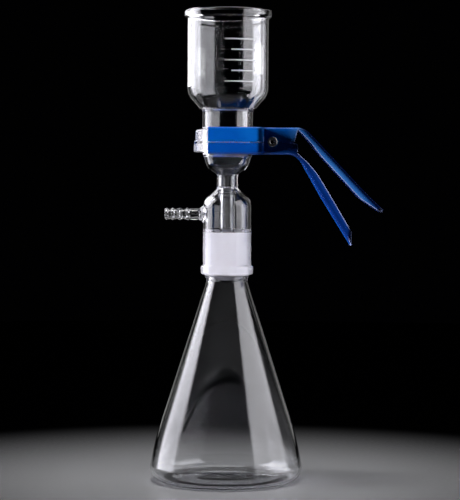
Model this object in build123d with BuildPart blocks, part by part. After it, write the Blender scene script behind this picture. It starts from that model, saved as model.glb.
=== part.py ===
from build123d import *
import math
import os

# All-glass vacuum filtration set, in millimetres. The origin is the centre of the flask's foot, +Z is
# up, the hose barb points along -X and the clamp's handles along +X.

# Collecting flask
FOOT_RING_R = 47.0  # inside edge of the flat foot ring
FOOT_R = 55.0  # outside edge of the foot ring, where the heel starts
PUSH_UP = 1.6  # hollow under the floor
HEEL_R, HEEL_SWEEP = 12.0, 100.0  # sweep in degrees, from flat to just past upright
BELLY_R, BELLY_SWEEP = 325.0, 7.74  # slow curve between the heel and the cone
FLASK_WALL = 2.6
FLOOR_Z = 5.0  # inside, at the centre
WAIST_R, WAIST_Z = 18.0, 176.4  # narrowest place, under the ground cone
FLASK_BORE_R, LIP_BORE_R = 15.2, 14.9

# Ground joint: 39 across at the wide end, taper 1 in 10 on the diameter
CONE_R, CONE_Z, CONE_TOP_Z = 19.5, 181.4, 219.0
CONE_TAPER = 0.05  # radius lost per unit of height
JOINT_GAP = 0.08

# Filter head
SKIRT_R, SKIRT_Z = 21.2, 182.2
BEAD_R, BEAD_TOP_Z = 23.05, 190.6
DOME_CORNER_Z, DOME_TOP_Z = 247.5, 257.6
CHAMBER_R = 18.8
STEM_R, STEM_BORE_R, STEM_TOP_Z = 9.0, 6.6, 269.4
DRIP_R, DRIP_BORE_R, DRIP_TIP_Z = 6.5, 4.9, 183.6
DRIP_SLANT = 7.0  # rise of the slanted tip across its width
BOWL_R, BOWL_BORE_R = 22.4, 18.8
HEAD_FLANGE_R, HEAD_FLANGE_Z, HEAD_FLANGE_TOP_Z = 29.6, 289.2, 299.2

# Hose barb
BARB_Z = 235.0
BARB_R, BARB_BORE_R, BARB_CORE_R = 5.0, 2.9, 4.4
RIDGE_R = 5.9
RIDGES = ((-55.0, 3.4), (-49.6, 3.4), (-44.6, 5.0), (-37.0, 3.9))  # outer end and length
FLARE_X, FLARE_R = -22.4, 10.8

# Filter media
FRIT_R, FRIT_THICKNESS, FRIT_SEAT_R = 19.95, 4.0, 20.0
MEMBRANE_R, MEMBRANE_THICKNESS = 23.5, 0.15

# Funnel cup
CUP_Z = 299.4
CUP_FLANGE_R, CUP_FLANGE_TOP_Z = 28.2, 309.3
CUP_NECK_R, CUP_BORE_R, CUP_NECK_TOP_Z = 22.3, 20.0, 327.0
CUP_R, CUP_INSIDE_R = 35.8, 33.5
CUP_SHOULDER_Z, CUP_SHOULDER_R = 339.5, 18.0
CUP_RIM_R, CUP_RIM_Z, CUP_TOP_Z = 38.4, 406.2, 414.0

# Graduations
MARK_TOP_Z, MARK_PITCH, MARK_COUNT, MARK_HEIGHT = 386.5, 9.1, 5, 1.1
MARK_START_LONG, MARK_START_SHORT, MARK_END = -4.4, 4.7, 41.7  # degrees from -Y towards +X
MARK_SUNK, MARK_PROUD = 0.06, 0.12

# Clamp
SHEET = 1.5
BEND_R = 2.8
BACK_TILT = 0.4  # least part along Z of the normal of a lever's back
JAW_TIP_X, JAW_BACK_X, JAW_HALF = -17.0, 31.5, 31.5
JAW_CORNER_R, THROAT_R = 6.5, 2.0
NOTCH_R = 25.0
FLANGE_GAP = 0.2
UPPER_INSIDE_Z = CUP_FLANGE_TOP_Z + FLANGE_GAP
LOWER_INSIDE_Z = HEAD_FLANGE_Z - FLANGE_GAP
UPPER_Z, LOWER_Z = UPPER_INSIDE_Z + SHEET, LOWER_INSIDE_Z - SHEET
UPPER_EDGE_Z, LOWER_EDGE_Z = 298.1, 297.4  # free edges of the jaws' walls
UPPER_HALF, LOWER_HALF = 14.5, 12.7  # over the cheeks: the lower lever fits inside the upper
CHEEK_START_X = 26.0
TIP_CORNER = (12.0, 6.0)  # how far back a handle's tip is rounded, and the corners' radius in plan
PLAN_REACH = 200.0
PIN_X, PIN_Z = 39.0, 298.5
EAR_R, PIN_HOLE_R = 6.0, 3.05

# Each lever's back is the outside of its sheet, and its edge is the free edge of its side flanges,
# from the tip of the handle back to the jaw, as (x, z, corner radius).
UPPER_BACK = ((CHEEK_START_X, UPPER_Z, 0), (66.9, UPPER_Z, 15), (121.3, 253.8, 40), (136.4, 239.4, 0))
UPPER_FREE = (
    (134.4, 237.0, 0),
    (116.0, 249.2, 25),
    (82.2, 285.4, 60),
    (69.8, 300.6, 25),
    (61.2, 309.2, 0.4),
    (58.2, UPPER_EDGE_Z, 1.5),
    (CHEEK_START_X, UPPER_EDGE_Z, 0),
)
LOWER_BACK = ((CHEEK_START_X, LOWER_Z, 0), (60.9, LOWER_Z, 14), (83.1, 248.6, 60), (108.2, 208.2, 0))
LOWER_FREE = (
    (111.0, 209.8, 0),
    (111.0, 216.4, 8),
    (88.0, 255.4, 60),
    (78.4, 271.2, 30),
    (69.6, 281.2, 20),
    (60.8, 289.2, 0.4),
    (61.5, 292.0, 1),
    (61.5, LOWER_EDGE_Z, 3),
    (CHEEK_START_X, LOWER_EDGE_Z, 0),
)

# Hinge rivet
PIN_R, PIN_BORE_R = 3.0, 1.9
RIVET_HEAD_R, RIVET_HEAD, RIVET_GAP = 4.4, 1.3, 0.1

# Torsion spring
WIRE_R, COIL_R, COIL_PITCH, COIL_FULL_TURNS = 0.9, 4.9, 2.1, 6
LEG_X = 57.0  # where each leg rests on its lever
LEG_GAP = 0.1


def cone_r(z):
    """Radius of the male ground cone at height z."""
    return CONE_R - CONE_TAPER * (z - CONE_Z)


def rounded(corners, plane=Plane.XZ):
    """Closed face from corners given as (first, second, corner radius) in the plane."""
    with BuildSketch(plane) as face:
        with BuildLine():
            FilletPolyline([c[:2] for c in corners], radius=[c[2] for c in corners], close=True)
        make_face()
    return face.sketch


def jaw_plan(z, tail_half, inset=0.0):
    """Plan of a jaw with the start of its narrow tail, drawn in from the outside by inset."""
    front = JAW_TIP_X - inset * NOTCH_R
    side = [
        (front, JAW_HALF - inset, 0),
        (JAW_BACK_X - inset, JAW_HALF - inset, JAW_CORNER_R - inset),
        (JAW_BACK_X - inset, tail_half - inset, THROAT_R + inset),
        (JAW_BACK_X + 2 * THROAT_R, tail_half - inset, 0),
    ]
    return rounded(side + [(x, -y, r) for x, y, r in reversed(side)], Plane.XY.offset(z))


def notch(z):
    """Open-fronted slot that lets a jaw pass the glass neck."""
    with BuildSketch(Plane.XY.offset(z)) as face:
        Circle(NOTCH_R)
        with Locations((-NOTCH_R, 0)):
            Rectangle(2 * NOTCH_R, 2 * NOTCH_R)
    return face.sketch


def channel_void(back, free):
    """Side view of the space inside a lever's channel, one sheet in from its back."""
    with BuildSketch(Plane.XZ) as face:
        add(rounded(back + free))
        with BuildLine(mode=Mode.PRIVATE) as spine:
            FilletPolyline([c[:2] for c in back], radius=[c[2] for c in back[1:-1]])
        trace(spine.line.edges(), 2 * SHEET, mode=Mode.SUBTRACT)
    return face.sketch


def plan_limit(tip_x, half):
    """Plan that a lever stays inside, with the corners of the handle's tip rounded off."""
    with BuildSketch(Plane.XY) as face:
        with Locations((tip_x - TIP_CORNER[0] - PLAN_REACH / 2, 0)):
            Rectangle(PLAN_REACH, 2 * JAW_HALF + 2)
        with Locations((tip_x - PLAN_REACH / 2, 0)):
            RectangleRounded(PLAN_REACH, 2 * half, TIP_CORNER[1])
    return face.sketch


def round_about_hinge(radius):
    """Disc about the hinge axis."""
    with BuildSketch(Plane.XZ) as face:
        with Locations((PIN_X, PIN_Z)):
            Circle(radius)
    return face.sketch


os.makedirs("parts", exist_ok=True)

# ---------------------------------------------------------------- collecting flask
with BuildPart() as collecting_flask:
    with BuildSketch(Plane.XZ):
        with BuildLine():
            foot = Line((FOOT_RING_R, 0), (FOOT_R, 0))
            heel = JernArc(foot @ 1, (1, 0), HEEL_R, HEEL_SWEEP)
            belly = JernArc(heel @ 1, heel % 1, BELLY_R, BELLY_SWEEP)
            floor_edge = (FOOT_R, FLASK_WALL)
            inner_heel = JernArc(floor_edge, (1, 0), HEEL_R - FLASK_WALL, HEEL_SWEEP)
            inner_belly = JernArc(inner_heel @ 1, inner_heel % 1, BELLY_R - FLASK_WALL, BELLY_SWEEP)
            FilletPolyline(
                belly @ 1,
                (WAIST_R, WAIST_Z),
                (CONE_R, CONE_Z),
                (cone_r(CONE_TOP_Z), CONE_TOP_Z),
                (LIP_BORE_R, CONE_TOP_Z),
                (FLASK_BORE_R, WAIST_Z),
                inner_belly @ 1,
                radius=[4, 1.2, 1.0, 1.0, 12],
            )
            Spline(floor_edge, (0, FLOOR_Z), tangents=[(-1, 0), (-1, 0)])
            Line((0, FLOOR_Z), (0, PUSH_UP))
            Spline((0, PUSH_UP), foot @ 0, tangents=[(1, 0), (1, -0.08)])
        make_face()
    revolve(axis=Axis.Z)
collecting_flask.part.label = "collecting_flask"
export_step(collecting_flask.part, "parts/collecting_flask.step")

# ---------------------------------------------------------------- filter head
HEAD_OUTSIDE = (
    (0, SKIRT_Z, 0),
    (BEAD_R, SKIRT_Z, 1.6),
    (BEAD_R, BEAD_TOP_Z - 1.4, 1.6),
    (SKIRT_R, BEAD_TOP_Z, 0.9),
    (SKIRT_R, DOME_CORNER_Z, 12),
    (STEM_R, DOME_TOP_Z, 3),
    (STEM_R, STEM_TOP_Z, 2),
    (17.8, 275.4, 9),
    (BOWL_R, HEAD_FLANGE_Z, 1.6),
    (HEAD_FLANGE_R, HEAD_FLANGE_Z, 1.4),
    (HEAD_FLANGE_R, HEAD_FLANGE_TOP_Z, 0.8),
    (0, HEAD_FLANGE_TOP_Z, 0),
)
CHAMBER = (
    (cone_r(SKIRT_Z - 1) + JOINT_GAP, SKIRT_Z - 1, 0),
    (cone_r(CONE_TOP_Z + 1) + JOINT_GAP, CONE_TOP_Z + 1, 0.5),
    (CHAMBER_R, CONE_TOP_Z + 3, 1),
    (CHAMBER_R, DOME_CORNER_Z - 1.2, 9.6),
    (DRIP_R, DOME_TOP_Z - 2, 2.2),
    (DRIP_R, SKIRT_Z - 1, 0),
)
BORE = (
    (0, SKIRT_Z - 1, 0),
    (DRIP_BORE_R, SKIRT_Z - 1, 0),
    (DRIP_BORE_R, DOME_TOP_Z - 4, 3),
    (STEM_BORE_R, DOME_TOP_Z + 2, 3),
    (STEM_BORE_R, STEM_TOP_Z + 0.6, 3),
    (16.2, 277.4, 7),
    (BOWL_BORE_R, 286.0, 5),
    (BOWL_BORE_R, HEAD_FLANGE_TOP_Z - FRIT_THICKNESS, 0),
    (FRIT_SEAT_R, HEAD_FLANGE_TOP_Z - FRIT_THICKNESS, 0),
    (FRIT_SEAT_R, HEAD_FLANGE_TOP_Z + 1, 0),
    (0, HEAD_FLANGE_TOP_Z + 1, 0),
)
DRIP_CUT = (
    (-CHAMBER_R / 2, SKIRT_Z - 1, 0),
    (CHAMBER_R / 2, SKIRT_Z - 1, 0),
    (CHAMBER_R / 2, DRIP_TIP_Z + DRIP_SLANT, 0),
    (-DRIP_R, DRIP_TIP_Z, 0),
    (-CHAMBER_R / 2, DRIP_TIP_Z, 0),
)
barb_line = [(RIDGES[0][0], BARB_Z, 0)]
for start, length in RIDGES:
    barb_line += [
        (start, BARB_Z + BARB_CORE_R, 0.4),
        (start + 0.7 * length, BARB_Z + RIDGE_R, 0.9),
        (start + length, BARB_Z + BARB_CORE_R, 0.4),
    ]
barb_line += [
    (barb_line[-1][0] + 1, BARB_Z + BARB_R, 0.5),
    (FLARE_X - 1, BARB_Z + BARB_R, 6),
    (FLARE_X + 3.4, BARB_Z + FLARE_R, 0),
    (-DRIP_R, BARB_Z + FLARE_R, 0),
    (-DRIP_R, BARB_Z, 0),
]
barb_axis = Axis((0, 0, BARB_Z), (1, 0, 0))

with BuildPart() as filter_head:
    add(rounded(HEAD_OUTSIDE))
    revolve(axis=Axis.Z)
    revolve(rounded(barb_line), axis=barb_axis)
    revolve(rounded(CHAMBER), axis=Axis.Z, mode=Mode.SUBTRACT)
    revolve(rounded(BORE), axis=Axis.Z, mode=Mode.SUBTRACT)
    extrude(rounded(DRIP_CUT), amount=CHAMBER_R / 2, both=True, mode=Mode.SUBTRACT)
    with BuildSketch(Plane.YZ.offset(RIDGES[0][0] - 1)):
        with Locations((0, BARB_Z)):
            Circle(BARB_BORE_R)
    extrude(amount=-RIDGES[0][0] + 1 - 2 * DRIP_R, mode=Mode.SUBTRACT)
filter_head.part.label = "filter_head"
export_step(filter_head.part, "parts/filter_head.step")

# ---------------------------------------------------------------- filter media
with BuildPart() as sintered_disc:
    with BuildSketch(Plane.XY.offset(HEAD_FLANGE_TOP_Z - FRIT_THICKNESS)):
        Circle(FRIT_R)
    extrude(amount=FRIT_THICKNESS)
sintered_disc.part.label = "sintered_disc"
export_step(sintered_disc.part, "parts/sintered_disc.step")

with BuildPart() as membrane_filter:
    with BuildSketch(Plane.XY.offset(HEAD_FLANGE_TOP_Z)):
        Circle(MEMBRANE_R)
    extrude(amount=MEMBRANE_THICKNESS)
membrane_filter.part.label = "membrane_filter"
export_step(membrane_filter.part, "parts/membrane_filter.step")

# ---------------------------------------------------------------- funnel cup
wall = CUP_R - CUP_INSIDE_R
CUP_PROFILE = (
    (CUP_BORE_R, CUP_Z, 0.5),
    (CUP_FLANGE_R, CUP_Z, 0.8),
    (CUP_FLANGE_R, CUP_FLANGE_TOP_Z, 2.4),
    (CUP_NECK_R, CUP_FLANGE_TOP_Z, 1.8),
    (CUP_NECK_R, CUP_NECK_TOP_Z, 1.0),
    (25.2, CUP_NECK_TOP_Z + 0.4, 2.4),
    (CUP_R, CUP_SHOULDER_Z, CUP_SHOULDER_R),
    (CUP_R, CUP_RIM_Z, 1.2),
    (CUP_RIM_R, CUP_RIM_Z + 1.6, 1.8),
    (CUP_RIM_R, CUP_TOP_Z, 2.8),
    (CUP_INSIDE_R, CUP_TOP_Z, 1.8),
    (CUP_INSIDE_R, CUP_SHOULDER_Z + 1, CUP_SHOULDER_R - wall),
    (CUP_BORE_R, CUP_NECK_TOP_Z - 1.8, 3),
)
with BuildPart() as funnel_cup:
    add(rounded(CUP_PROFILE))
    revolve(axis=Axis.Z)
funnel_cup.part.label = "funnel_cup"
export_step(funnel_cup.part, "parts/funnel_cup.step")

with BuildPart() as cup_graduations:
    for index in range(MARK_COUNT):
        first = MARK_START_SHORT if index % 2 else MARK_START_LONG
        turn = math.radians(first - 90)
        across = Plane(
            origin=(0, 0, MARK_TOP_Z - index * MARK_PITCH),
            x_dir=(math.cos(turn), math.sin(turn), 0),
            z_dir=(math.sin(turn), -math.cos(turn), 0),
        )
        with BuildSketch(across):
            with Locations((CUP_R + (MARK_PROUD - MARK_SUNK) / 2, 0)):
                Rectangle(MARK_PROUD + MARK_SUNK, MARK_HEIGHT)
        revolve(axis=Axis.Z, revolution_arc=MARK_END - first)
cup_graduations.part.label = "cup_graduations"
export_step(cup_graduations.part, "parts/cup_graduations.step")


# ---------------------------------------------------------------- clamp levers
def bends(lever, outward):
    """Edges where a lever's back, whose faces look outward along Z, turns into its flanges."""
    backs = lever.faces().filter_by(lambda face: face.normal_at().Z * outward > BACK_TILT)
    across = backs.edges().filter_by(Axis.Y)
    jaw_back = across.filter_by_position(Axis.X, JAW_BACK_X - SHEET, JAW_BACK_X + SHEET)
    return backs.edges().filter_by(Axis.Y, reverse=True) + jaw_back


with BuildPart() as clamp_upper_lever:
    extrude(jaw_plan(UPPER_EDGE_Z, UPPER_HALF), amount=UPPER_Z - UPPER_EDGE_Z)
    extrude(rounded(UPPER_BACK + UPPER_FREE), amount=UPPER_HALF, both=True)
    fillet(bends(clamp_upper_lever, 1), BEND_R)
    extrude(round_about_hinge(EAR_R), amount=UPPER_HALF, both=True)
    extrude(
        jaw_plan(UPPER_EDGE_Z - 2 * EAR_R, UPPER_HALF, SHEET),
        amount=UPPER_INSIDE_Z - UPPER_EDGE_Z + 2 * EAR_R,
        mode=Mode.SUBTRACT,
    )
    extrude(channel_void(UPPER_BACK, UPPER_FREE), amount=UPPER_HALF - SHEET, both=True, mode=Mode.SUBTRACT)
    extrude(round_about_hinge(EAR_R + 1), amount=UPPER_HALF - SHEET, both=True, mode=Mode.SUBTRACT)
    extrude(notch(UPPER_INSIDE_Z - SHEET), amount=3 * SHEET, mode=Mode.SUBTRACT)
    extrude(round_about_hinge(PIN_HOLE_R), amount=UPPER_HALF, both=True, mode=Mode.SUBTRACT)
    extrude(plan_limit(UPPER_BACK[-1][0], UPPER_HALF), amount=UPPER_Z + 1, mode=Mode.INTERSECT)
clamp_upper_lever.part.label = "clamp_upper_lever"
export_step(clamp_upper_lever.part, "parts/clamp_upper_lever.step")

with BuildPart() as clamp_lower_lever:
    extrude(jaw_plan(LOWER_Z, LOWER_HALF), amount=LOWER_EDGE_Z - LOWER_Z)
    extrude(rounded(LOWER_BACK + LOWER_FREE), amount=LOWER_HALF, both=True)
    fillet(bends(clamp_lower_lever, -1), BEND_R)
    extrude(round_about_hinge(EAR_R), amount=LOWER_HALF, both=True)
    extrude(
        jaw_plan(LOWER_INSIDE_Z, LOWER_HALF, SHEET),
        amount=LOWER_EDGE_Z - LOWER_INSIDE_Z + 2 * EAR_R,
        mode=Mode.SUBTRACT,
    )
    extrude(channel_void(LOWER_BACK, LOWER_FREE), amount=LOWER_HALF - SHEET, both=True, mode=Mode.SUBTRACT)
    extrude(round_about_hinge(EAR_R + 1), amount=LOWER_HALF - SHEET, both=True, mode=Mode.SUBTRACT)
    extrude(notch(LOWER_Z - SHEET), amount=3 * SHEET, mode=Mode.SUBTRACT)
    extrude(round_about_hinge(PIN_HOLE_R), amount=LOWER_HALF, both=True, mode=Mode.SUBTRACT)
    extrude(plan_limit(LOWER_FREE[0][0], LOWER_HALF), amount=UPPER_Z + 1, mode=Mode.INTERSECT)
clamp_lower_lever.part.label = "clamp_lower_lever"
export_step(clamp_lower_lever.part, "parts/clamp_lower_lever.step")

# ---------------------------------------------------------------- hinge rivet
hinge_axis = Axis((PIN_X, 0, PIN_Z), (0, 1, 0))
along_hinge = Plane(origin=(PIN_X, 0, PIN_Z), x_dir=(0, 1, 0), z_dir=(1, 0, 0))
under_head = UPPER_HALF + RIVET_GAP
over_head = under_head + RIVET_HEAD
RIVET = (
    (-over_head, PIN_BORE_R, 0.5),
    (-over_head, RIVET_HEAD_R, 0.6),
    (-under_head, RIVET_HEAD_R, 0.3),
    (-under_head, PIN_R, 0),
    (under_head, PIN_R, 0),
    (under_head, RIVET_HEAD_R, 0.3),
    (over_head, RIVET_HEAD_R, 0.6),
    (over_head, PIN_BORE_R, 0.5),
)
with BuildPart() as clamp_hinge_pin:
    revolve(rounded(RIVET, along_hinge), axis=hinge_axis)
clamp_hinge_pin.part.label = "clamp_hinge_pin"
export_step(clamp_hinge_pin.part, "parts/clamp_hinge_pin.step")


# ---------------------------------------------------------------- torsion spring
def leg_angle(rest_z):
    """Angle above +X of a leg that leaves the coil tangentially and rests at (LEG_X, rest_z)."""
    reach = (LEG_X - PIN_X, rest_z - PIN_Z)
    lean = math.degrees(math.asin(COIL_R / math.hypot(*reach)))
    return math.degrees(math.atan2(reach[1], reach[0])) - math.copysign(lean, reach[1])


upper_leg = leg_angle(UPPER_INSIDE_Z - WIRE_R - LEG_GAP)
lower_leg = leg_angle(LOWER_INSIDE_Z + WIRE_R + LEG_GAP)
coil_turns = COIL_FULL_TURNS + (180 + lower_leg - upper_leg) / 360
coil_length = coil_turns * COIL_PITCH
coil_start = math.radians(90 + upper_leg)
coil_plane = Plane(
    origin=(PIN_X, -coil_length / 2, PIN_Z),
    x_dir=(math.cos(coil_start), 0, math.sin(coil_start)),
    z_dir=(0, 1, 0),
)
coil = coil_plane * Helix(COIL_PITCH, coil_length, COIL_R, lefthand=True)
leg_length = math.sqrt((LEG_X - PIN_X) ** 2 + (LOWER_INSIDE_Z + WIRE_R + LEG_GAP - PIN_Z) ** 2 - COIL_R**2)
with BuildPart() as clamp_torsion_spring:
    with BuildLine() as wire_path:
        Line((coil @ 0) - (coil % 0) * leg_length, coil @ 0)
        add(coil)
        Line(coil @ 1, (coil @ 1) + (coil % 1) * leg_length)
    with BuildSketch(Plane(origin=wire_path.line @ 0, z_dir=wire_path.line % 0)):
        Circle(WIRE_R)
    sweep(path=wire_path.line)
clamp_torsion_spring.part.label = "clamp_torsion_spring"
export_step(clamp_torsion_spring.part, "parts/clamp_torsion_spring.step")
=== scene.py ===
import bpy
import math
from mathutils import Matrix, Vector


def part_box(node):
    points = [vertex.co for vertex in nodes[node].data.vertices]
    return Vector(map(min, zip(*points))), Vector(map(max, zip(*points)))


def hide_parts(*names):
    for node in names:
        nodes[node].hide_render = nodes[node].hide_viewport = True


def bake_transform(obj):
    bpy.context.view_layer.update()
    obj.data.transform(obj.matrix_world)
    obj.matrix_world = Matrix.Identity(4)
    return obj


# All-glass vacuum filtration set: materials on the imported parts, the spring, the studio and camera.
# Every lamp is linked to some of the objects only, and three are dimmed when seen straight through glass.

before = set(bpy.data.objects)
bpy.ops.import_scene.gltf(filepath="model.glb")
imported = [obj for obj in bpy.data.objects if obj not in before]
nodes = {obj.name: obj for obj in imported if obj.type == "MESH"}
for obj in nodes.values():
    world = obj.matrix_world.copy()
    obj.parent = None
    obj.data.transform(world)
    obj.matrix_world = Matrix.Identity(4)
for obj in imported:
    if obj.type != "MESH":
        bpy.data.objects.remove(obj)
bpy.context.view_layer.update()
scene = bpy.context.scene

# Heights where ground surfaces begin or end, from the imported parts
GROUND_LOW, GROUND_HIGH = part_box("filter_head")[0].z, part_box("collecting_flask")[1].z
MATING_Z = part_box("sintered_disc")[1].z
CUP_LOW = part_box("funnel_cup")[0].z

# Glass (metres)
GLASS_IOR = 1.473
GLASS_TINT = (0.98, 0.985, 0.99)
GROUND_TINT = (0.9, 0.89, 0.95)
GROUND_DENSITY = 0.72  # how much of ground glass scatters like white paint
FLASK_BORE, SKIRT_BORE, DRIP_TUBE = 0.0152, 0.0196, 0.0065  # radii

# Where a surface turns from clear to ground, or back: both ends of each change
CONE_START = GROUND_LOW - 0.0012, GROUND_LOW - 0.0004  # height on the flask's male cone
CONE_SKIN = FLASK_BORE + 0.0012, FLASK_BORE + 0.0016  # radius, between the neck's bore and its outside
SOCKET_END = GROUND_HIGH, GROUND_HIGH + 0.0004  # height in the head's socket
SOCKET_SKIN = SKIRT_BORE + 0.0002, SKIRT_BORE + 0.0006  # radius, between the socket and the skirt's outside
PAST_TUBE = DRIP_TUBE + 0.002, DRIP_TUBE + 0.003  # radius, which leaves the drip tube clear
HEAD_FACE = MATING_Z - 0.0003, MATING_Z - 0.0001  # height, just under the head's mating face
CUP_FACE = CUP_LOW + 0.0001, CUP_LOW + 0.0003  # height, just over the cup's mating face
RIM_START = 0.0245, 0.0255  # radius on both flanges
RIM_LOW, RIM_HIGH = (0.2877, 0.2885), (0.31, 0.3108)  # heights under and over both flanges
RIM_MATT = 0.38  # how matt the rims are beside the ground joint
SEAM_Z, SEAM_BAND = 0.2978, (0.0009, 0.0016)  # a polished band, level with the gap between the jaws

# Clamp (metres)
EDGE_R = 0.0022  # how far wear and a painted highlight reach from the levers' free edges
EDGE_BENT, EDGE_FLAT = 0.88, 0.999  # dot product of bevelled and true normals, at an edge and away from it
BEVEL_SAMPLES = 16
HANDLE_START = 0.05, 0.062  # from the bowl's axis out, where a lever turns from jaw to handle
SIDE_FLANGE = 0.009, 0.011  # from the lever's middle out, where its side flanges begin
SHADE_ACROSS = 0.0005, 0.006  # from a handle's free edge, where the painted highlight gives way to painted shade
# Painted shade: the dark blue at the back of the handles' side flanges
SHADED_BLUE = (0.0005, 0.015, 0.12), (0.001, 0.022, 0.16)
# Pale lilac at the handles' edges: partly wear, partly a painted highlight
WEAR_AND_HIGHLIGHT = (0.42, 0.5, 0.9)

# Studio (metres)
AIM_Z, TALL = 0.25, 0.75  # height that lamps face, and the panel height over which they face level
DIM_PART = 0.2, 0.45  # up a panel, where its dim bottom gives way to full strength
FLOOR_R, FLOOR_FADE = 2.0, (0.06, 0.42)  # the floor's radius, and the radii between which its colour darkens, a painted pool of light
BACKDROP = (0.0003, 0.0003, 0.0004)
CAMERA, CAMERA_AIM = (0.0026, -1.75, 0.265), (0.0026, 0, 0.2035)
CAMERA_LENS, CAMERA_ROLL = 143.3, 0.3  # millimetres, degrees
COOL, PALE_COOL = (0.93, 0.92, 1.0), (0.95, 0.94, 1.0)


# ---------------------------------------------------------------- material helpers
class Nodes:
    """A short way to build one material's node tree."""

    def __init__(self, name):
        self.material = bpy.data.materials.new(name)
        self.material.use_nodes = True
        self.tree = self.material.node_tree
        self.shader = self.tree.nodes["Principled BSDF"]
        self.place = self.tree.nodes.new("ShaderNodeTexCoord").outputs["Object"]

    def link(self, value, socket):
        """Joins an output to a socket, or sets the socket to a plain value."""
        if isinstance(value, bpy.types.NodeSocket):
            self.tree.links.new(value, socket)
        else:
            socket.default_value = value

    def math(self, operation, *values):
        node = self.tree.nodes.new("ShaderNodeMath")
        node.operation = operation
        for value, socket in zip(values, node.inputs):
            self.link(value, socket)
        return node.outputs[0]

    def noise(self, scale, detail, rough=0.5, stretch=(1, 1, 1)):
        mapping = self.tree.nodes.new("ShaderNodeMapping")
        mapping.inputs["Scale"].default_value = stretch
        self.link(self.place, mapping.inputs["Vector"])
        node = self.tree.nodes.new("ShaderNodeTexNoise")
        self.link(mapping.outputs[0], node.inputs["Vector"])
        node.inputs["Scale"].default_value = scale
        node.inputs["Detail"].default_value = detail
        node.inputs["Roughness"].default_value = rough
        return node.outputs[0]

    def between(self, value, low, high, to_low=0.0, to_high=1.0):
        """value from low to high, mapped to to_low to to_high and held at the ends."""
        node = self.tree.nodes.new("ShaderNodeMapRange")
        node.interpolation_type = "SMOOTHSTEP"
        for number, socket in zip((low, high, to_low, to_high), node.inputs[1:5]):
            self.link(number, socket)
        self.link(value, node.inputs[0])
        return node.outputs[0]

    def mix(self, factor, first, second):
        node = self.tree.nodes.new("ShaderNodeMix")
        node.data_type = "RGBA"
        self.link(factor, node.inputs[0])
        self.link((*first, 1) if isinstance(first, tuple) else first, node.inputs[6])
        self.link((*second, 1) if isinstance(second, tuple) else second, node.inputs[7])
        return node.outputs[2]

    def coordinates(self):
        node = self.tree.nodes.new("ShaderNodeSeparateXYZ")
        self.link(self.place, node.inputs[0])
        return node.outputs

    def radius(self):
        """Distance from the Z axis."""
        x, y, _ = self.coordinates()
        squares = self.math("ADD", self.math("MULTIPLY", x, x), self.math("MULTIPLY", y, y))
        return self.math("SQRT", squares)

    def bump(self, height, distance, strength, under=None):
        node = self.tree.nodes.new("ShaderNodeBump")
        node.inputs["Strength"].default_value = strength
        node.inputs["Distance"].default_value = distance
        self.link(height, node.inputs["Height"])
        if under is not None:
            self.link(under, node.inputs["Normal"])
        return node.outputs[0]

    def edge(self, reach):
        """1 at a sharp edge, falling to 0 at that distance from it."""
        node = self.tree.nodes.new("ShaderNodeBevel")
        node.samples = BEVEL_SAMPLES
        node.inputs["Radius"].default_value = reach
        product = self.tree.nodes.new("ShaderNodeVectorMath")
        product.operation = "DOT_PRODUCT"
        self.link(node.outputs[0], product.inputs[0])
        self.link(self.tree.nodes.new("ShaderNodeNewGeometry").outputs["Normal"], product.inputs[1])
        return self.between(product.outputs["Value"], EDGE_BENT, EDGE_FLAT, 1.0, 0.0)

    def set(self, **values):
        """Sets or links the shader's sockets, with _ for a space in their names."""
        for name, value in values.items():
            self.link(value, self.shader.inputs[name.replace("_", " ")])


def dress(node, material):
    slots = nodes[node].material_slots
    if not slots:
        nodes[node].data.materials.append(material)
    for slot in slots:
        slot.material = material


# ---------------------------------------------------------------- glass
def glass(name, ground):
    """Clear borosilicate with faint waves and smudges. ground(n) gives a mask, 1 where it is ground matt."""
    n = Nodes(name)
    mask = ground(n)
    smudge = n.between(n.noise(55, detail=4), 0.45, 0.75, 0.0, 0.035)
    grit = n.noise(2600, detail=2)
    matt = n.between(grit, 0.3, 0.7, 0.5, 0.62)
    rough = n.math("ADD", smudge, n.math("MULTIPLY", mask, matt))
    waves = n.bump(n.noise(22, detail=1, stretch=(1, 1, 0.35)), 0.0006, 0.25)
    grain = n.bump(n.math("MULTIPLY", mask, grit), 0.00006, 0.6, under=waves)
    n.set(
        Base_Color=n.mix(mask, GLASS_TINT, GROUND_TINT),
        Roughness=rough,
        Transmission_Weight=n.math("SUBTRACT", 1.0, n.math("MULTIPLY", mask, GROUND_DENSITY)),
        IOR=GLASS_IOR,
        Normal=grain,
    )
    return n.material


def flask_ground(n):
    """The male cone's outside."""
    height = n.coordinates()[2]
    above = n.between(height, *CONE_START)
    outside = n.between(n.radius(), *CONE_SKIN)
    return n.math("MULTIPLY", above, outside)


def rim_of_flange(n):
    """The outer part of both flanges, less matt than the joint, with a polished band at the seam."""
    height = n.coordinates()[2]
    above = n.between(height, *RIM_LOW)
    below = n.between(height, *RIM_HIGH, 1.0, 0.0)
    off_seam = n.between(n.math("ABSOLUTE", n.math("SUBTRACT", height, SEAM_Z)), *SEAM_BAND)
    heights = n.math("MULTIPLY", n.math("MULTIPLY", above, below), off_seam)
    outside = n.between(n.radius(), *RIM_START)
    return n.math("MULTIPLY", n.math("MULTIPLY", heights, outside), RIM_MATT)


def head_ground(n):
    """The socket's inside, the flange's face round the sintered disc, and the flange's rim."""
    height = n.coordinates()[2]
    radius = n.radius()
    below = n.between(height, *SOCKET_END, 1.0, 0.0)
    inside = n.between(radius, *SOCKET_SKIN, 1.0, 0.0)
    past_tube = n.between(radius, *PAST_TUBE)
    socket = n.math("MULTIPLY", n.math("MULTIPLY", below, inside), past_tube)
    face = n.between(height, *HEAD_FACE)
    return n.math("MAXIMUM", n.math("MAXIMUM", socket, face), rim_of_flange(n))


def cup_ground(n):
    """The flange's face that presses on the membrane, and its rim."""
    face = n.between(n.coordinates()[2], *CUP_FACE, 1.0, 0.0)
    return n.math("MAXIMUM", face, rim_of_flange(n))


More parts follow.
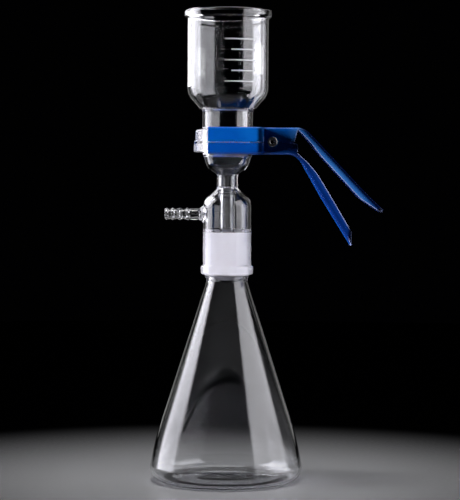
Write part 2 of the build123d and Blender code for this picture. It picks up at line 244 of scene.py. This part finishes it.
# ---------------------------------------------------------------- other finishes
def sintered():
    n = Nodes("sintered_glass")
    pores = n.noise(1900, detail=5, rough=0.65)
    n.set(
        Base_Color=n.mix(n.between(pores, 0.35, 0.6), (0.72, 0.73, 0.74), (0.93, 0.93, 0.92)),
        Roughness=n.between(pores, 0.3, 0.7, 0.95, 0.75),
        Subsurface_Weight=0.15,
        Normal=n.bump(pores, 0.00012, 0.8),
    )
    return n.material


def membrane():
    n = Nodes("membrane")
    fibres = n.noise(900, detail=5, rough=0.7)
    n.set(
        Base_Color=n.mix(fibres, (0.9, 0.9, 0.89), (0.97, 0.97, 0.96)),
        Roughness=n.between(fibres, 0.3, 0.7, 0.8, 0.7),
        Normal=n.bump(fibres, 0.00003, 0.5),
    )
    return n.material


def enamel():
    n = Nodes("white_enamel")
    grain = n.noise(1500, detail=3)
    n.set(
        Base_Color=n.mix(grain, (0.82, 0.83, 0.86), (0.92, 0.93, 0.95)),
        Roughness=n.between(grain, 0.3, 0.7, 0.35, 0.5),
        Normal=n.bump(grain, 0.00002, 0.4),
    )
    return n.material


def anodised(name, jaw, pale, edge_x, edge_z, normal):
    """Blue dye in a satin oxide skin. On the handles the side flanges carry painted light: a painted highlight
    at their free edge, with some wear there too, going over to painted shade at the back.

    jaw and pale are (darker, lighter) blues. The free edge runs through (edge_x, edge_z), and normal
    points from it to the handle's back."""
    n = Nodes(name)
    brushed = n.noise(900, detail=3)
    cloud = n.between(n.noise(38, detail=3), 0.35, 0.7)
    x, y, z = n.coordinates()
    off_x = n.math("MULTIPLY", n.math("SUBTRACT", x, edge_x), normal[0])
    off_z = n.math("MULTIPLY", n.math("SUBTRACT", z, edge_z), normal[1])
    handle = n.between(x, *HANDLE_START)
    side = n.math("MULTIPLY", handle, n.between(n.math("ABSOLUTE", y), *SIDE_FLANGE))
    # Along the handles' edges: partly wear, partly a painted highlight in pale lilac
    patchiness = n.between(n.noise(260, detail=4), 0.2, 0.6, 0.6, 1.0)
    wear_and_highlight = n.math("MULTIPLY", n.math("MULTIPLY", n.edge(EDGE_R), patchiness), handle)
    # Painted light on the handles' side flanges: the pale blues at the free edge are a painted highlight, the
    # dark blue at the back is painted shade
    shaded_blue = n.mix(cloud, *SHADED_BLUE)
    across = n.mix(n.between(n.math("ADD", off_x, off_z), *SHADE_ACROSS), n.mix(cloud, *pale), shaded_blue)
    n.set(
        Base_Color=n.mix(wear_and_highlight, n.mix(side, n.mix(cloud, *jaw), across), WEAR_AND_HIGHLIGHT),
        Metallic=0.15,
        Roughness=n.between(brushed, 0.3, 0.7, 0.33, 0.38),
        Coat_Weight=0.2,
        Coat_Roughness=0.18,
    )
    return n.material


def steel(name, tone, roughness):
    """Bare steel with a fine grain. tone is its lightest grey."""
    n = Nodes(name)
    grain = n.noise(1200, detail=3)
    n.set(
        Base_Color=n.mix(grain, (0.8 * tone,) * 3, (tone,) * 3),
        Metallic=1.0,
        Roughness=n.between(grain, 0.3, 0.7, roughness - 0.06, roughness + 0.06),
        Normal=n.bump(grain, 0.00003, 0.3),
    )
    return n.material


dress("collecting_flask", glass("flask_glass", flask_ground))
dress("filter_head", glass("head_glass", head_ground))
dress("funnel_cup", glass("cup_glass", cup_ground))
dress("sintered_disc", sintered())
dress("membrane_filter", membrane())
dress("cup_graduations", enamel())
# One anodised blue on both levers: the upper's lighter blues are painted light, the lower's darker ones
# painted shade
dress("clamp_upper_lever", anodised(
    "upper_blue_lit",
    jaw=((0.001, 0.1, 0.52), (0.003, 0.14, 0.62)),
    pale=((0.04, 0.22, 0.72), (0.06, 0.28, 0.82)),
    edge_x=0.0822, edge_z=0.2854, normal=(0.731, 0.683),
))
dress("clamp_lower_lever", anodised(
    "lower_blue_shaded",
    jaw=((0.001, 0.07, 0.42), (0.003, 0.1, 0.5)),
    pale=((0.003, 0.035, 0.26), (0.006, 0.055, 0.33)),
    edge_x=0.0784, edge_z=0.2712, normal=(-0.859, -0.511),
))
dress("clamp_hinge_pin", steel("rivet_steel", tone=0.36, roughness=0.3))


# ---------------------------------------------------------------- spring in a mesh of its own
def twisting_spring():
    """The wire as packed, copied into a mesh of its own with spring steel, and the packed part hidden."""
    packed = nodes["clamp_torsion_spring"]
    spring = bpy.data.objects.new("spring_wire", packed.data.copy())
    scene.collection.objects.link(spring)
    spring.data.materials.clear()
    spring.data.materials.append(steel("spring_steel", tone=0.5, roughness=0.28))
    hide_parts("clamp_torsion_spring")
    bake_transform(spring)


twisting_spring()


# ---------------------------------------------------------------- studio
def linked(name, objects, state):
    """Light-linking collection that a light reaches (INCLUDE) or leaves dark (EXCLUDE)."""
    group = bpy.data.collections.new(name)
    for item in objects:
        group.objects.link(item)
    for entry in group.collection_objects:
        entry.light_linking.link_state = state
    return group


def shade(light, edge, low, through, mirrored):
    """Fades a light towards its panel's sides and dims the bottom.

    A path that only goes through glass gets the share called through. If the light isn't mirrored, so
    does one that is mirrored on its way."""
    light.use_nodes = True
    tree = light.node_tree
    spread = tree.nodes.new("ShaderNodeSeparateXYZ")
    tree.links.new(tree.nodes.new("ShaderNodeNewGeometry").outputs["Parametric"], spread.inputs[0])

    def step(operation, *values):
        node = tree.nodes.new("ShaderNodeMath")
        node.operation = operation
        for value, socket in zip(values, node.inputs):
            if isinstance(value, bpy.types.NodeSocket):
                tree.links.new(value, socket)
            else:
                socket.default_value = value
        return node.outputs[0]

    def ramp(value, *ends):
        node = tree.nodes.new("ShaderNodeMapRange")
        node.interpolation_type = "SMOOTHSTEP"
        for number, socket in zip(ends, node.inputs[1:5]):
            socket.default_value = number
        tree.links.new(value, node.inputs[0])
        return node.outputs[0]

    sides = ramp(step("ABSOLUTE", step("SUBTRACT", spread.outputs[0], 0.5)), 0.5 - edge, 0.5, 1.0, 0.0)
    graded = step("MULTIPLY", sides, ramp(spread.outputs[1], *DIM_PART, low, 1.0))
    depths = tree.nodes.new("ShaderNodeLightPath").outputs
    mirrorings = step("MULTIPLY", depths["Glossy Depth"], float(mirrored))
    scattered = step("MINIMUM", step("ADD", mirrorings, depths["Diffuse Depth"]), 1.0)
    refracted = step("MINIMUM", depths["Transmission Depth"], 1.0)
    straight = step("MULTIPLY", refracted, step("SUBTRACT", 1.0, scattered))
    passed = step("SUBTRACT", 1.0, step("MULTIPLY", straight, 1.0 - through))
    tree.links.new(step("MULTIPLY", graded, passed), tree.nodes["Emission"].inputs["Strength"])


def softbox(name, azimuth, distance, height, size, glow, tone=(1, 1, 1), edge=0.0, low=1.0, through=1.0,
            mirrored=True, seen_through=True, *, reach):
    """Area light facing the axis. azimuth turns from the front towards +X, size is (width, height).

    glow is the panel's brightness. It is feathered by edge, low and through as in shade() if it has an
    edge. reach is a light-linking collection."""
    light = bpy.data.lights.new(name, "AREA")
    light.shape = "RECTANGLE"
    light.size, light.size_y = size
    light.energy = glow * math.pi * size[0] * size[1]
    light.color = tone
    if edge:
        shade(light, edge, low, through, mirrored)
    lamp = bpy.data.objects.new(name, light)
    turn = math.radians(azimuth)
    lamp.location = (distance * math.sin(turn), -distance * math.cos(turn), height)
    aim = Vector((0, 0, AIM_Z)) - lamp.location
    if size[1] > TALL:
        aim.z = 0
    lamp.rotation_euler = aim.to_track_quat("-Z", "Y").to_euler()
    lamp.visible_camera = False
    lamp.visible_glossy = mirrored
    lamp.visible_transmission = seen_through
    lamp.light_linking.receiver_collection = reach
    scene.collection.objects.link(lamp)


def floor():
    """Pale round floor whose colour darkens into the backdrop, a painted pool of light round the object."""
    bpy.ops.mesh.primitive_circle_add(vertices=128, radius=FLOOR_R, fill_type="NGON")
    disc = bpy.context.object
    disc.name = "floor"
    n = Nodes("floor_paper")
    fade = n.between(n.radius(), *FLOOR_FADE)
    grain = n.noise(240, detail=4)
    n.set(
        Base_Color=n.mix(fade, n.mix(grain, (0.62, 0.62, 0.64), (0.68, 0.68, 0.7)), BACKDROP),
        Roughness=n.between(grain, 0.3, 0.7, 0.4, 0.5),
        Specular_IOR_Level=0.2,
        Normal=n.bump(grain, 0.0001, 0.2),
    )
    disc.data.materials.append(n.material)
    return disc


paper = floor()
levers = [nodes[name] for name in ("clamp_upper_lever", "clamp_lower_lever")]
all_but_floor = linked("all_but_floor", [paper], "EXCLUDE")
all_but_levers = linked("all_but_levers", [paper, *levers], "EXCLUDE")  # nor the floor
clamp_only = linked("clamp_only", [*levers, nodes["clamp_hinge_pin"]], "INCLUDE")
cup_only = linked("cup_only", [nodes["funnel_cup"]], "INCLUDE")
head_only = linked("head_only", [nodes["filter_head"]], "INCLUDE")
floor_only = linked("floor_only", [paper], "INCLUDE")

# Name, azimuth in degrees, distance, height, the panel's width and height, glow and sometimes a tone
softbox("left_strip", -105, 0.72, 0.55, (0.66, 1.3), 7.2, COOL, edge=0.18, low=0.5, through=0.04,
        reach=all_but_floor)
softbox("right_box", 75, 0.85, 0.5, (1.15, 1.3), 4.0, PALE_COOL, edge=0.12, low=0.45, through=0.04,
        reach=all_but_levers)
softbox("left_rim", -158, 1.1, 0.4, (0.22, 1.2), 0.25, edge=0.2, reach=all_but_levers)
softbox("cup_rim", -143, 0.9, 0.66, (0.55, 0.6), 3.4, (0.94, 0.93, 1.0), edge=0.2, reach=all_but_levers)
softbox("right_rim", 155, 1.1, 0.4, (0.25, 1.2), 0.2, edge=0.2, reach=all_but_levers)
softbox("top_box", 165, 0.4, 1.5, (0.8, 0.7), 2.0, reach=all_but_floor)
softbox("clamp_key", -70, 1.1, 0.4, (0.4, 0.7), 42.0, seen_through=False, mirrored=False, reach=clamp_only)
softbox("clamp_fill", 120, 1.2, 0.6, (0.8, 0.7), 5.0, seen_through=False, mirrored=False, reach=clamp_only)
softbox("joint_fill", -12, 1.2, 0.3, (0.9, 0.7), 12.0, (0.97, 0.96, 1.0), edge=0.1, through=0.05,
        mirrored=False, reach=head_only)
softbox("floor_pool", 0, 0.05, 1.6, (0.5, 0.5), 13.0, seen_through=False, mirrored=False, reach=floor_only)
softbox("window", 97, 0.8, 0.418, (0.6, 0.038), 3.0, reach=cup_only)

world = bpy.data.worlds.new("studio")
scene.world = world
world.use_nodes = True
world.node_tree.nodes["Background"].inputs["Color"].default_value = (*BACKDROP, 1)

camera = bpy.data.objects.new("camera", bpy.data.cameras.new("camera"))
camera.data.lens = CAMERA_LENS
camera.data.clip_start = 0.05
camera.location = CAMERA
toward = Vector(CAMERA_AIM) - camera.location
camera.rotation_euler = toward.to_track_quat("-Z", "Y").to_euler()
camera.rotation_euler.rotate_axis("Z", math.radians(CAMERA_ROLL))
scene.collection.objects.link(camera)
scene.camera = camera

scene.view_settings.view_transform = "Standard"
scene.cycles.max_bounces = 24
scene.cycles.transmission_bounces = 24
scene.cycles.glossy_bounces = 12
